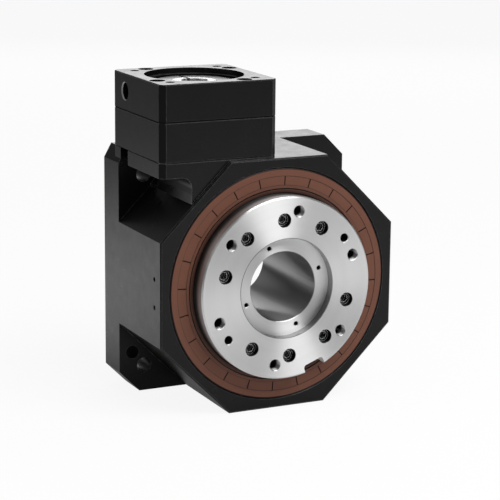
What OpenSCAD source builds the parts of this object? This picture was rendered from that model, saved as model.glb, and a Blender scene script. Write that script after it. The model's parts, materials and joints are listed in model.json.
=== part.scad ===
// Hollow rotary platform with a right-angle hypoid drive.
// The output turns about the Y axis, which runs from front (-Y) to rear (+Y).
// The origin is on that axis, in the plane of the housing's front face.
// The input shaft stands upright, beside the hollow shaft, and takes the motor from above.

/* [Housing] */
// Width of the octagonal body across its flats
body_w = 180; // [176:1:196]
// Depth of the octagonal body in front of the mounting plate
body_d = 76.6; // [74:0.2:90]
// Thickness of the square mounting plate
plate_t = 27.4; // [24:0.2:40]
// Corner chamfer of the mounting plate
plate_chamfer = 15.6; // [8:0.2:18]
// Width of the flat at the plate corner under the input pad
pad_corner_cut = 5.5; // [2:0.1:8]
// Height of the flat at the plate corner under the input pad
pad_corner_drop = 10; // [6:0.2:14]
// Edge break on the machined outer edges
edge_break = 1; // [0.4:0.1:1.6]
// Height of the input pad above the top flat of the body
pad_rise = 1.2; // [0.4:0.1:4]

/* [Mounting holes] */
// How far the circle of mounting holes reaches past the body's flats
mount_out = 10; // [9:0.5:12]
// Clearance hole for an M10 mounting screw
mount_hole_d = 11; // [10.5:0.1:12]
// Width of the channel in the pad column for a mounting screw's key
key_channel_d = 15.2; // [14:0.2:16]
// How far that channel stands out from the mounting screw, towards the corner
key_channel_out = 3.3; // [2:0.1:4]
// Diameter of the pocket behind the column for a mounting screw's head
head_pocket_d = 18; // [17:0.5:20]
// Back of the pad column beside that pocket, behind the front face
column_back = 62.5; // [60:0.5:66]
// Dowel hole beside two of the mounting holes
dowel_d = 10; // [6:0.5:10]
// Angle between a dowel hole and the mounting hole next to it
dowel_turn = 8; // [7:0.5:9]
// Tapped holes in the left side, thread diameter
side_tap_d = 3; // [2.5:0.5:4]
// Distance between the two side holes
side_tap_gap = 20; // [16:1:30]
// Depth of the side holes behind the front face
side_tap_y = 10.9; // [9:0.1:14]
// Drilled depth of the side holes
side_tap_deep = 6; // [4:0.5:7]

/* [Input stack] */
// Inset of the input stack from the body's left side
stack_inset = 1.75; // [1:0.25:3]
// Distance of the input axis behind the front face
input_back = 47; // [46:0.5:50]
// Side of the square input housing and motor adapter
stack_w = 87.5; // [86:0.5:88]
// Size of the chamfers on the upright corners of the stack
stack_corner = 4; // [2:0.5:5]
// Size of the small bevels along the edges of the stack's pieces
stack_break = 0.6; // [0.2:0.1:1]
// Height of the input housing
input_h = 27.6; // [27:0.2:36]
// Height of the motor adapter
adapter_h = 26; // [24:0.2:36]
// Wall between the motor's pilot bore and the side of the stack
pilot_wall = 8.75; // [8.25:0.25:11]
// Depth of the motor pilot bore
pilot_deep = 4; // [3:0.5:6]
// Ledge at the foot of the pilot bore
pilot_ledge = 2; // [1:0.5:4]
// How far the circle of motor screws reaches past the side of the stack
motor_screw_out = 1.25; // [0.5:0.25:2.25]
// Thread diameter of the motor screws
motor_tap_d = 6; // [5:1:6]
// Depth of the motor screw holes
motor_tap_deep = 18; // [12:1:20]
// Thread diameter of the screws that hold the adapter
adapter_screw_d = 6; // [5:1:6]
// Inset of the adapter screws' circle from the side of the stack
adapter_screw_in = 1.25; // [1:0.25:1.75]
// Depth of the counterbores over the adapter screws
adapter_sink = 12; // [8:0.5:16]
// Hole in the side of the adapter for the clamp screw key
key_hole_d = 12; // [8:0.5:13]
// Height of the clamp screw above the adapter's lower face
clamp_height = 13.5; // [12:0.5:16]
// How far the circle of the input housing's screws reaches past the side of the stack
input_screw_out = 5.75; // [4.75:0.25:6.75]
// Thread diameter of the input housing screws
input_screw_d = 6; // [5:1:6]
// Length of the input housing screws
input_screw_l = 28; // [26:1:28]

/* [Input shaft] */
// Bore that takes the motor shaft
hub_bore_d = 19; // [14:1:19]
// Depth of the motor shaft bore
hub_bore_deep = 40; // [34:1:42]
// Outer diameter of the slotted hub
hub_d = 32; // [32:0.5:34]
// Room between the motor's pilot and the hub's end
hub_room = 0.3; // [0.2:0.1:2]
// Diameter of the bearing journal
journal_d = 30; // [30:0.5:31]
// Outer diameter of the clamp collar
collar_d = 54; // [52:0.5:58]
// Height of the clamp collar
collar_h = 16; // [12:0.5:16]
// Width of the clamp slot
slot_w = 2; // [1:0.5:3]
// Thread diameter of the clamp screw
clamp_screw_d = 6; // [5:1:6]
// Distance of the clamp screw from the input axis
clamp_screw_out = 20.6; // [20.2:0.2:22]
// Length of the clamp screw
clamp_screw_l = 20; // [16:1:22]
// Shaft diameter above the ring gear
pinion_shaft_d = 20; // [18:0.5:22]
// Stub that is pressed into the input shaft
pinion_stub_d = 16; // [14:0.5:17]
// Length of the pressed stub
pinion_stub_l = 13; // [10:0.5:14]

/* [Input bearings] */
// Outer diameter of the two input bearings
input_bearing_d = 47; // [47:0.5:49]
// Width of each input bearing
input_bearing_w = 9; // [8.5:0.5:9.5]
// Ball diameter of the input bearings
input_ball_d = 5; // [4.5:0.1:5.2]
// Number of balls in each input bearing
input_balls = 14; // [10:1:16]
// Distance between the two input bearings
bearing_gap = 4; // [3:0.5:5]
// Thickness of the retaining ring over the bearings
circlip_t = 1.8; // [1.2:0.1:2]
// Gap between the circlip's ends
circlip_gap = 8; // [6:1:12]
// Height of the input seal
input_seal_h = 6; // [5:0.5:6]
// Height of the lock nut
lock_nut_h = 5; // [4:0.5:6]
// Diameter of the spigot that centres the input housing
spigot_d = 60; // [58:1:64]
// Length of that spigot
spigot_l = 8.2; // [7:0.2:8.6]

/* [Output flange] */
// How far the flange reaches past the main bearing's bore
flange_over = 11; // [10.5:0.5:11.5]
// Height of the flange in front of the housing
flange_out = 13; // [10:0.5:18]
// Seat of the flange behind the housing's front face
flange_in = 9; // [9:0.2:10]
// Width of the ring round the bore that shows in the flange's recess
recess_rim = 10.5; // [10:0.5:11]
// Depth of the recess
recess_deep = 6.6; // [4:0.2:8]
// Inset of the flange screws from the flange's rim
flange_screw_in = 16.3; // [16:0.1:16.6]
// Thread diameter of those screws
flange_screw_d = 6; // [5:1:6]
// Counterbore of those screws
flange_sink_d = 10.2; // [10.1:0.1:10.6]
// Depth of that counterbore
flange_sink = 10; // [7:0.5:12]
// Inset of the load screw holes from the flange's rim
load_in = 10; // [9:0.5:11]
// Thread diameter of the load holes
load_tap_d = 8; // [6:1:8]
// Depth of the load holes
load_tap_deep = 17; // [12:1:18]
// Dowel holes in the flange
flange_dowel_d = 6; // [4:1:6]
// Depth of the flange's dowel holes
flange_dowel_deep = 10; // [6:1:12]
// Turn of the flange's pattern in its rest position
flange_turn = 21; // [0:1:35]
// Width of the locating notch in the rim
notch_w = 16; // [10:0.5:20]
// Depth of the notch in from the rim
notch_deep = 6; // [3:0.5:6]

/* [Hollow shaft] */
// Distance from the body's side to the wall of the through bore
bore_wall = 65; // [64:0.5:67]
// Wall of the hollow shaft
hollow_wall = 5; // [4.5:0.5:6]
// How far the shaft's collar reaches under the flange's shoulder
collar_step = 2; // [1:0.5:3]
// Distance of the small tapped holes from the bore
small_tap_out = 5; // [4.5:0.5:6]
// Thread diameter of the small holes
small_tap_d = 3; // [2:0.5:3]
// Depth of the small holes
small_tap_deep = 6; // [4:0.5:7]

/* [Output seal] */
// Wall of the housing round the seal
seal_wall = 7.25; // [6:0.25:8]
// Thickness of the seal
seal_t = 5.5; // [5:0.1:6]
// Width of the seal's plain outer rim
seal_rim = 5.45; // [4.5:0.05:6.5]
// Width of the seal's marked band
band_w = 6.55; // [5:0.05:7]
// Number of radial marks around the band
band_marks = 24; // [12:1:36]
// Width of the marks and ring grooves
mark_w = 0.6; // [0.4:0.1:1]
// Depth of the marks and ring grooves
mark_deep = 0.6; // [0.3:0.1:1]
// How far the marked band lies below the seal's rim
band_sink = 0.25; // [0.1:0.05:0.4]
// Width of the groove round the seal's lip
lip_groove_w = 0.9; // [0.5:0.1:1.2]
// Depth of the groove round the seal's lip
lip_groove_deep = 1.2; // [0.5:0.1:2]

/* [Main bearing] */
// Wall of the housing round the main bearing
bearing_wall = 10; // [9.5:0.5:11]
// Radial section of the main bearing
main_bearing_section = 26; // [25.5:0.5:26.5]
// Width of the main bearing
main_bearing_w = 18; // [17:0.5:20]
// Diameter and length of a roller
roller_d = 8; // [6:0.5:8.4]
// Number of crossed rollers
rollers = 36; // [24:2:44]

/* [Gear pair] */
// Teeth on the ring gear
ring_teeth = 60; // [60:1:60]
// Teeth on the pinion
pinion_teeth = 5; // [5:1:5]
// Pitch diameter of the pinion
pinion_pitch_d = 22; // [21.6:0.1:22.2]
// Room between the ring gear and the line of the main bearing's seat
gear_room = 11; // [9:0.5:12]
// Length of the ring gear's toothed face, across it
tooth_face = 20; // [19:0.5:21]
// Room between the ring gear's bore and the hollow shaft
gear_bore_room = 8; // [7:0.5:9]
// Width of the ring gear's tooth spaces at the pitch plane
space_w = 3; // [2.9:0.05:3.1]
// Backlash between the teeth, measured square to the flank
backlash = 0.5; // [0.5:0.05:0.7]
// Flank angle of the teeth
flank_angle = 22; // [20:0.5:24]
// Tip height of the pinion teeth above the pitch diameter
pinion_addendum = 2; // [1.7:0.1:2]
// Turn that centres the pinion's teeth in the ring gear's spaces
mesh_turn = -1; // [-1.3:0.1:-0.7]
// Tip height of the ring gear teeth above the pitch plane
ring_addendum = 1.2; // [0.8:0.1:1.3]
// Room between a tooth tip and the root it runs in
tip_room = 0.5; // [0.4:0.05:0.7]
// Height of the pinion's lower end above the output axis
pinion_low = 24; // [23.5:0.5:26]
// Length of the toothed part of the pinion
pinion_face = 26; // [24:0.5:27]
// Thread diameter of the ring gear screws
gear_screw_d = 5; // [4:1:5]

/* [Rear bearing and cover] */
// Radial section of the rear bearing
rear_bearing_section = 9; // [8.5:0.5:10]
// Width of the rear bearing
rear_bearing_w = 10; // [9:0.5:10]
// Ball diameter of the rear bearing
rear_ball_d = 5; // [4.5:0.1:5.2]
// Number of balls in the rear bearing
rear_balls = 24; // [16:1:28]
// Depth of the rear recess
rear_recess_deep = 27.4; // [26:0.2:29]
// Ledge between the rear cover and the wall of the rear recess
rear_ledge = 5; // [3:0.5:12]
// How far the rear cover reaches past the rear bearing
cover_rim = 11; // [10.5:0.5:12]
// Thickness of the rear cover
cover_t = 8; // [7:0.5:9]
// Number of screws in the rear cover
cover_screws = 6; // [4:1:8]
// Thread diameter of the cover screws
cover_screw_d = 4; // [3:1:4]

/* [Fits] */
// Running clearance of a lip on its shaft, per side
lip_gap = 0.05; // [0.02:0.01:0.09]
// Clearance of balls and rollers in their tracks
track_gap = 0.25; // [0.15:0.05:0.3]
// Clearance of a screw in its through hole, per side
screw_gap = 0.3; // [0.2:0.05:0.5]

/* [Hidden] */
$fn = 96;

// Overshoot of every cut, so that it clears the surface it starts from
cut = 1;

// Levels above the output axis, along Z
half_w = body_w / 2;
pad_top = half_w + pad_rise;
mount_pcd = body_w + 2 * mount_out;
input_offset = half_w - stack_w / 2 - stack_inset;
input_top = pad_top + input_h;
adapter_top = input_top + adapter_h;
hub_top = adapter_top - pilot_deep - hub_room;
clamp_z = input_top + clamp_height;
collar_low = clamp_z - collar_h / 2;
spigot_low = pad_top - spigot_l;
nut_low = spigot_low + 0.5;
lower_bearing_z = nut_low + lock_nut_h;
upper_bearing_z = lower_bearing_z + input_bearing_w + bearing_gap;
circlip_z = upper_bearing_z + input_bearing_w;
input_seal_z = circlip_z + circlip_t;
pinion_top = pinion_low + pinion_face;
input_x = -input_offset;

// Depths behind the front face, along Y
plate_back = body_d + plate_t;
flange_front = -flange_out;
recess_floor = flange_front + recess_deep;
retainer_y = seal_t;
main_bearing_y = flange_in;
main_bearing_back = main_bearing_y + main_bearing_w;
roller_y = main_bearing_y + main_bearing_w / 2;
pitch_y = input_back - pinion_pitch_d / 2;
tooth_top_y = pitch_y + ring_addendum;
gear_web_y = pitch_y - pinion_addendum - tip_room - 0.4;
web_y = input_back - 4;
cover_back = plate_back - rear_recess_deep;
cover_y = cover_back - cover_t;
rear_bearing_y = cover_y - rear_bearing_w;
hollow_shaft_back = cover_back;

// Sizes about the output axis, from the body inwards
seal_d = body_w - 2 * seal_wall;
band_outer_d = seal_d - 2 * seal_rim;
band_inner_d = band_outer_d - 2 * band_w;
main_bearing_d = body_w - 2 * bearing_wall;
main_bearing_bore = main_bearing_d - 2 * main_bearing_section;
roller_pcd = (main_bearing_d + main_bearing_bore) / 2;
flange_d = main_bearing_bore + 2 * flange_over;
flange_screw_pcd = flange_d - 2 * flange_screw_in;
load_pcd = flange_d - 2 * load_in;
ring_gear_d = main_bearing_d - 2 * gear_room;
tooth_inner_d = ring_gear_d - 2 * tooth_face;

// Sizes about the output axis, from the bore outwards
bore_d = body_w - 2 * bore_wall;
hollow_shaft_d = bore_d + 2 * hollow_wall;
recess_d = bore_d + 2 * recess_rim;
collar_r = recess_d / 2 + collar_step;
small_tap_pcd = bore_d + 2 * small_tap_out;
ring_gear_bore = hollow_shaft_d + 2 * gear_bore_room;
gear_screw_pcd = (hollow_shaft_d + main_bearing_bore) / 2;
rear_bearing_d = hollow_shaft_d + 2 * rear_bearing_section;
cover_d = rear_bearing_d + 2 * cover_rim;
rear_recess_d = cover_d + 2 * rear_ledge;

// Sizes about the input axis, from the stack's side inwards
input_pcd = stack_w + 2 * input_screw_out;
motor_pcd = stack_w + 2 * motor_screw_out;
adapter_pcd = stack_w - 2 * adapter_screw_in;
pilot_d = stack_w - 2 * pilot_wall;
adapter_bore_d = pilot_d - 2 * pilot_ledge;

// Radii about the output axis
flange_r = flange_d / 2;
seal_r = seal_d / 2;
main_bearing_r = main_bearing_d / 2;
hollow_r = hollow_shaft_d / 2;
spigot_r = main_bearing_bore / 2;
ring_gear_r = ring_gear_d / 2;
cavity_r = main_bearing_r - 4;
track_split = 0.4;
rear_pitch_r = (hollow_r + rear_bearing_d / 2) / 2;
cover_screw_r = (rear_bearing_d / 2 + cover_d / 2) / 2;
rear_lip_carrier_r = rear_bearing_d / 2 - 1;

// Radii about the input axis
hub_r = hub_d / 2;
journal_r = journal_d / 2;
input_bearing_r = input_bearing_d / 2;
input_pitch_r = (journal_r + input_bearing_r) / 2;
pinion_pitch_r = pinion_pitch_d / 2;
pinion_tip_r = pinion_pitch_r + pinion_addendum;
pinion_root_r = pinion_pitch_r - ring_addendum - tip_room;
pinion_bore_r = pinion_tip_r + 1.3;
nut_r = input_bearing_r - 4.5;

// Places of the repeated holes, as angles seen from the front
ear_angles = [45, 135, 225, 315];
dowel_angles = [45 - dowel_turn, 225 - dowel_turn];
ear_offset = mount_pcd / 2 * cos(45);
load_angles = [for (k = [0:5]) flange_turn + 60 * k];
flange_screw_angles = [for (k = [1:4]) for (side = [0, 180]) flange_turn + side + 36 * k];
flange_dowel_angles = [flange_turn + 15, flange_turn + 195];
small_tap_angles = [for (k = [0:3]) flange_turn + 90 * k];
gear_screw_angles = [for (k = [0:9]) flange_turn + 18 + 36 * k];
notch_angle = flange_turn + 270;
adapter_screw_angles = [30, 120, 210, 300];
corner_angles = [45, 135, 225, 315];

// Gear pair. A pinion tooth's azimuth changes with height so that it stays tangent to the
// ring gear's teeth all along the line of contact under the input axis.
gear_ratio = ring_teeth / pinion_teeth;
contact_z = sqrt(pow((ring_gear_r + tooth_inner_d / 2) / 2, 2) - pow(input_offset, 2));
ring_edge_z = sqrt(pow(ring_gear_r, 2) - pow(input_offset, 2));
function pinion_lead(z) = (z - gear_ratio * pinion_pitch_r) / (input_offset * pinion_pitch_r);
function pinion_turn(z) = ((z * z - contact_z * contact_z) / 2
    - gear_ratio * pinion_pitch_r * (z - contact_z)) / (input_offset * pinion_pitch_r) * 180 / PI;
function tooth_slope(z) = pinion_pitch_r * abs(pinion_lead(z));
function ring_tooth_point(z) = let (
    radius = sqrt(input_offset * input_offset + z * z),
    angle = atan2(z, -input_offset) - pinion_turn(z) / gear_ratio
) [radius * cos(angle), radius * sin(angle)];

// A 2-D shape in the X-Z plane, drawn out along Y
module extrude_y(from, to) {
    translate([0, to, 0]) rotate([90, 0, 0]) linear_extrude(to - from) children();
}

// A profile of [radius, depth] points turned about the output axis
module revolve_y(points) {
    rotate([-90, 0, 0]) rotate_extrude() polygon(points);
}

module disc_y(radius, from, to) {
    translate([0, from, 0]) rotate([-90, 0, 0]) cylinder(r = radius, h = to - from);
}

module ring_y(outer, inner, from, to) {
    revolve_y([[inner, from], [outer, from], [outer, to], [inner, to]]);
}

module ring_z(outer, inner, from, to) {
    translate([0, 0, from]) rotate_extrude() translate([inner, 0]) square([outer - inner, to - from]);
}

module disc_z(radius, from, to) {
    translate([0, 0, from]) cylinder(r = radius, h = to - from);
}

// Children point into the part (+Y), at the given angles on a circle about the output axis
module around_output(angles, radius, y) {
    for (angle = angles)
        rotate([0, -angle, 0]) translate([radius, y, 0]) rotate([-90, 0, 0]) children();
}

module around_input(angles, radius, z) {
    for (angle = angles)
        rotate([0, 0, angle]) translate([radius, 0, z]) children();
}

module at_input() {
    translate([input_x, input_back, 0]) children();
}

// Side view of a block of the input stack, with its edges broken
module bevelled_side(from, to) {
    half = stack_w / 2;
    b = stack_break;
    polygon([
        [b - half, from], [half - b, from], [half, from + b], [half, to - b],
        [half - b, to], [b - half, to], [-half, to - b], [-half, from + b]
    ]);
}

// A square block of the input stack, with chamfered corners
module stack_block(from, to) {
    half = stack_w / 2;
    flat = half - stack_corner;
    intersection() {
        translate([0, 0, from]) linear_extrude(to - from) polygon([
            [half, -flat], [half, flat], [flat, half], [-flat, half],
            [-half, flat], [-half, -flat], [-flat, -half], [flat, -half]
        ]);
        drawn_through(0) bevelled_side(from, to);
        drawn_through(90) bevelled_side(from, to);
    }
}

// A side view drawn out right through the stack, seen from the front or from the side
module drawn_through(turn) {
    rotate([0, 0, turn]) translate([0, stack_w, 0]) rotate([90, 0, 0])
        linear_extrude(2 * stack_w) children();
}

// A socket screw seated at z = 0, with its shank along +Z and its head below
module cap_screw(d, length) {
    difference() {
        union() {
            translate([0, 0, -d]) cylinder(d = 1.5 * d, h = d);
            cylinder(d = d, h = length);
        }
        translate([0, 0, -d - cut]) cylinder(d = 0.95 * d, h = 0.5 * d + cut, $fn = 6);
    }
}

// The hole for such a screw: clearance, then thread, with the head sunk by sink
module screw_hole(d, through, length, sink_d, sink) {
    translate([0, 0, -sink]) cylinder(d = sink_d, h = sink);
    cylinder(r = d / 2 + screw_gap, h = through);
    cylinder(d = d, h = length);
}

// A blind hole from z = 0, with a broken edge at its mouth
module blind_hole(d, deep) {
    translate([0, 0, -cut]) cylinder(d = d, h = deep + cut);
    translate([0, 0, -0.01]) cylinder(d1 = d + 0.8, d2 = d, h = 0.4);
}

// ---- housing and its closed pieces ----

module octagon(flats) {
    corner = flats / 2 / cos(22.5);
    polygon([for (k = [0:7]) [corner * cos(22.5 + 45 * k), corner * sin(22.5 + 45 * k)]]);
}

module plate_outline() {
    h = half_w;
    c = plate_chamfer;
    polygon([
        [c - h, -h], [h - c, -h], [h, c - h], [h, h - c], [h - c, h],
        [pad_corner_cut - h, h], [-h, h - pad_corner_drop], [-h, c - h]
    ]);
}

// The column that carries the input stack, cut away round a mounting screw: a channel for
// its key, and a pocket behind the column for its head
module input_pad() {
    column_low = half_w * sqrt(2) - ear_offset - key_channel_d / 2;
    channel_r = key_channel_d / 2;
    channel_at = ear_offset + key_channel_out / sqrt(2);
    pocket_in = input_offset + sqrt(pow(spigot_d / 2, 2) - pow(column_back - input_back, 2)) + 3;
    difference() {
        at_input() stack_block(column_low, pad_top);
        translate([-channel_at, 0, channel_at]) {
            disc_y(channel_r, 0, body_d);
            translate([-stack_w, 0, -stack_w]) cube([stack_w, body_d, stack_w + channel_r]);
            translate([-stack_w, 0, -stack_w]) cube([stack_w + channel_r, body_d, stack_w]);
        }
        translate([-ear_offset, 0, ear_offset]) disc_y(head_pocket_d / 2, column_back, body_d);
        translate([-stack_w - pocket_in, column_back, column_low])
            cube([stack_w, body_d - column_back, stack_w]);
    }
}

module front_edge_break() {
    for (k = [0:7])
        rotate([0, 45 * k, 0]) translate([0, 0, half_w]) rotate([45, 0, 0])
            cube([body_w, edge_break * sqrt(2), edge_break * sqrt(2)], center = true);
}

module housing_bores() {
    disc_y(seal_r, -cut, main_bearing_y);
    revolve_y([[0, -cut], [seal_r + 0.8 + cut, -cut], [seal_r, 0.8], [0, 0.8]]);
    disc_y(main_bearing_r, 0, main_bearing_back);
    disc_y(cavity_r, 0, web_y);
    disc_y(hollow_r + 3, 0, cover_back);
    disc_y(rear_bearing_d / 2, rear_bearing_y, cover_back);
    disc_y(cover_d / 2, cover_y, cover_back);
    disc_y(rear_recess_d / 2, cover_back, plate_back + cut);
    at_input() {
        disc_z(spigot_d / 2, spigot_low, pad_top + cut);
        disc_z(pinion_bore_r, pinion_low - 2, pad_top);
    }
}

module housing_holes() {
    around_output(ear_angles, mount_pcd / 2, 0)
        translate([0, 0, body_d - cut]) cylinder(d = mount_hole_d, h = plate_t + 2 * cut);
    around_output(dowel_angles, mount_pcd / 2, 0)
        translate([0, 0, body_d - cut]) cylinder(d = dowel_d, h = plate_t + 2 * cut);
    for (side = [-1, 1])
        translate([-half_w, side_tap_y, side * side_tap_gap / 2]) rotate([0, 90, 0])
            blind_hole(side_tap_d, side_tap_deep);
    around_output([for (k = [1:cover_screws]) 360 / cover_screws * k], cover_screw_r, cover_y)
        rotate([180, 0, 0]) cylinder(d = cover_screw_d, h = 3 * cover_screw_d);
    at_input() around_input(corner_angles, input_pcd / 2, pad_top)
        rotate([180, 0, 0]) cylinder(d = input_screw_d, h = input_screw_l - input_h + sink_z());
}

// Depth of the input housing screws' seats below the input housing's top
function sink_z() = input_screw_d + 0.8;

module housing() {
    color("#2b2c2e") difference() {
        union() {
            extrude_y(0, body_d) octagon(body_w);
            extrude_y(body_d, plate_back) plate_outline();
            input_pad();
        }
        front_edge_break();
        housing_bores();
        housing_holes();
    }
}

module input_housing() {
    color("#2b2c2e") at_input() difference() {
        union() {
            stack_block(pad_top, input_top);
            disc_z(spigot_d / 2, spigot_low, pad_top + cut);
        }
        disc_z(nut_r + 1, spigot_low - cut, input_top);
        disc_z(input_bearing_r, lower_bearing_z, input_top + cut);
        disc_z(input_bearing_r + 1, circlip_z, input_seal_z);
        around_input(corner_angles, input_pcd / 2, input_top - sink_z()) rotate([180, 0, 0])
            screw_hole(input_screw_d, input_h, input_h, 1.5 * input_screw_d + 1, sink_z() + cut);
        around_input(adapter_screw_angles, adapter_pcd / 2, input_top + cut) rotate([180, 0, 0])
            cylinder(d = adapter_screw_d, h = 2 * adapter_screw_d + cut);
    }
}

module input_housing_screws() {
    color("#4a4b4d") at_input()
        around_input(corner_angles, input_pcd / 2, input_top - sink_z())
            rotate([180, 0, 0]) cap_screw(input_screw_d, input_screw_l);
}

module motor_adapter() {
    seat_z = adapter_top - adapter_sink;
    color("#2b2c2e") at_input() difference() {
        stack_block(input_top, adapter_top);
        disc_z(adapter_bore_d / 2, input_top - cut, adapter_top);
        disc_z(pilot_d / 2, adapter_top - pilot_deep, adapter_top + cut);
        around_input(corner_angles, motor_pcd / 2, adapter_top)
            rotate([180, 0, 0]) blind_hole(motor_tap_d, motor_tap_deep);
        around_input(adapter_screw_angles, adapter_pcd / 2, seat_z) rotate([180, 0, 0])
            screw_hole(adapter_screw_d, adapter_h, adapter_h, 1.5 * adapter_screw_d + 2,
                adapter_sink + cut);
        translate([-stack_w / 2, clamp_screw_out, clamp_z]) rotate([0, 90, 0]) {
            cylinder(d = key_hole_d, h = stack_w / 2);
            translate([0, 0, -0.01]) cylinder(d1 = key_hole_d + 1.2, d2 = key_hole_d, h = 0.6);
        }
    }
}

module adapter_screws() {
    color("#4a4b4d") at_input()
        around_input(adapter_screw_angles, adapter_pcd / 2, adapter_top - adapter_sink)
            rotate([180, 0, 0])
                cap_screw(adapter_screw_d, adapter_h - adapter_sink + 2 * adapter_screw_d);
}

// ---- output seal and main bearing ----

module output_seal() {
    band_out = band_outer_d / 2;
    band_in = band_inner_d / 2;
    lip = flange_r + lip_gap;
    groove_out = (band_in + lip) / 2 + lip_groove_w;
    groove_in = groove_out - lip_groove_w;
    color("#73473a") difference() {
        revolve_y([
            [lip + 0.5, seal_t], [lip, seal_t / 2], [lip, 0.9], [lip + 0.6, 0.3],
            [groove_in, 0.3], [groove_in, lip_groove_deep], [groove_out, lip_groove_deep],
            [groove_out, 0], [band_in, 0], [band_in, band_sink], [band_out, band_sink],
            [band_out, 0], [seal_r - 0.6, 0], [seal_r, 0.6], [seal_r, seal_t]
        ]);
        for (k = [1:band_marks])
            rotate([0, 3 - 360 / band_marks * k, 0]) translate([band_in, -cut, -mark_w / 2])
                cube([band_w, band_sink + mark_deep + cut, mark_w]);
    }
}

module bearing_retainer() {
    color("#8e9194") difference() {
        ring_y(seal_r, roller_pcd / 2 + 2, retainer_y, main_bearing_y);
        for (k = [0:3])
            rotate([0, 90 * k, 0]) translate([roller_pcd / 2 + 7, retainer_y, 0])
                rotate([-90, 0, 0]) cylinder(d = 5, h = main_bearing_y - retainer_y);
    }
}

// Half the diagonal of the square channel that the rollers run in
function channel() = (roller_d + 2 * track_gap) / sqrt(2);

module bearing_outer_ring() {
    groove = channel();
    inner = roller_pcd / 2 + track_split;
    color("#a4a7aa") revolve_y([
        [inner, main_bearing_y], [main_bearing_r, main_bearing_y],
        [main_bearing_r, main_bearing_back], [inner, main_bearing_back],
        [inner, roller_y + groove - track_split], [roller_pcd / 2 + groove, roller_y],
        [inner, roller_y - groove + track_split]
    ]);
}

module bearing_inner_ring() {
    groove = channel();
    outer = roller_pcd / 2 - track_split;
    color("#a4a7aa") revolve_y([
        [spigot_r, main_bearing_y], [outer, main_bearing_y],
        [outer, roller_y - groove + track_split], [roller_pcd / 2 - groove, roller_y],
        [outer, roller_y + groove - track_split], [outer, main_bearing_back],
        [spigot_r, main_bearing_back]
    ]);
}

// Rollers lean 45 degrees, each one square to the next
module crossed_rollers() {
    length = roller_d - 0.5;
    color("#c9ccce") for (k = [1:rollers])
        rotate([0, 360 / rollers * k, 0]) translate([roller_pcd / 2, roller_y, 0])
            rotate([0, 0, k % 2 == 0 ? 45 : -45]) rotate([90, 0, 0])
                cylinder(d = roller_d, h = length, center = true);
}

// ---- turning output ----

module output_flange() {
    color("#c4c6c8") difference() {
        revolve_y([
            [recess_d / 2, flange_front], [flange_r - 1, flange_front],
            [flange_r, flange_front + 1], [flange_r, flange_in], [collar_r, flange_in],
            [collar_r, recess_floor], [recess_d / 2, recess_floor]
        ]);
        around_output(flange_screw_angles, flange_screw_pcd / 2, flange_front + flange_sink)
            screw_hole(flange_screw_d, flange_in - flange_front - flange_sink + cut,
                0.1, flange_sink_d, flange_sink + cut);
        around_output(load_angles, load_pcd / 2, flange_front)
            blind_hole(load_tap_d, load_tap_deep);
        around_output(flange_dowel_angles, load_pcd / 2, flange_front)
            blind_hole(flange_dowel_d, flange_dowel_deep);
        rotate([0, -notch_angle, 0]) rim_notch();
    }
}

module rim_notch() {
    corner = 2.5;
    floor_r = flange_r - notch_deep;
    extrude_y(flange_front - cut, -cut) {
        translate([floor_r + corner, -notch_w / 2]) square([notch_deep + cut, notch_w]);
        translate([floor_r, corner - notch_w / 2]) square([corner, notch_w - 2 * corner]);
        for (side = [-1, 1])
            translate([floor_r + corner, side * (notch_w / 2 - corner)]) circle(r = corner);
    }
}

module flange_screws() {
    color("#3c3d3f")
        around_output(flange_screw_angles, flange_screw_pcd / 2, flange_front + flange_sink)
            cap_screw(flange_screw_d, flange_screw_l());
}

function flange_screw_l() = flange_in - flange_front - flange_sink + 2 * flange_screw_d;

module hollow_shaft() {
    color("#b4b7b9") difference() {
        revolve_y([
            [bore_d / 2, recess_floor + 0.5], [bore_d / 2 + 0.5, recess_floor],
            [collar_r, recess_floor], [collar_r, flange_in],
            [hollow_r, flange_in], [hollow_r, hollow_shaft_back - 0.5],
            [hollow_r - 0.5, hollow_shaft_back], [bore_d / 2, hollow_shaft_back]
        ]);
        around_output(small_tap_angles, small_tap_pcd / 2, recess_floor)
            blind_hole(small_tap_d, small_tap_deep);
    }
}

module gear_carrier() {
    color("#8e9194") difference() {
        ring_y(spigot_r, hollow_r, flange_in, main_bearing_back);
        around_output(flange_screw_angles, flange_screw_pcd / 2, flange_in - cut)
            cylinder(d = flange_screw_d, h = 2 * flange_screw_d + cut);
        around_output(gear_screw_angles, gear_screw_pcd / 2, gear_screw_seat())
            screw_hole(gear_screw_d, main_bearing_w, main_bearing_w, 1.5 * gear_screw_d + 1,
                gear_screw_d + 1 + cut);
    }
}

function gear_screw_seat() = flange_in + gear_screw_d + 1;

module gear_screws() {
    color("#3c3d3f")
        around_output(gear_screw_angles, gear_screw_pcd / 2, gear_screw_seat())
            cap_screw(gear_screw_d, main_bearing_back - gear_screw_seat() + gear_screw_d);
}

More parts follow.
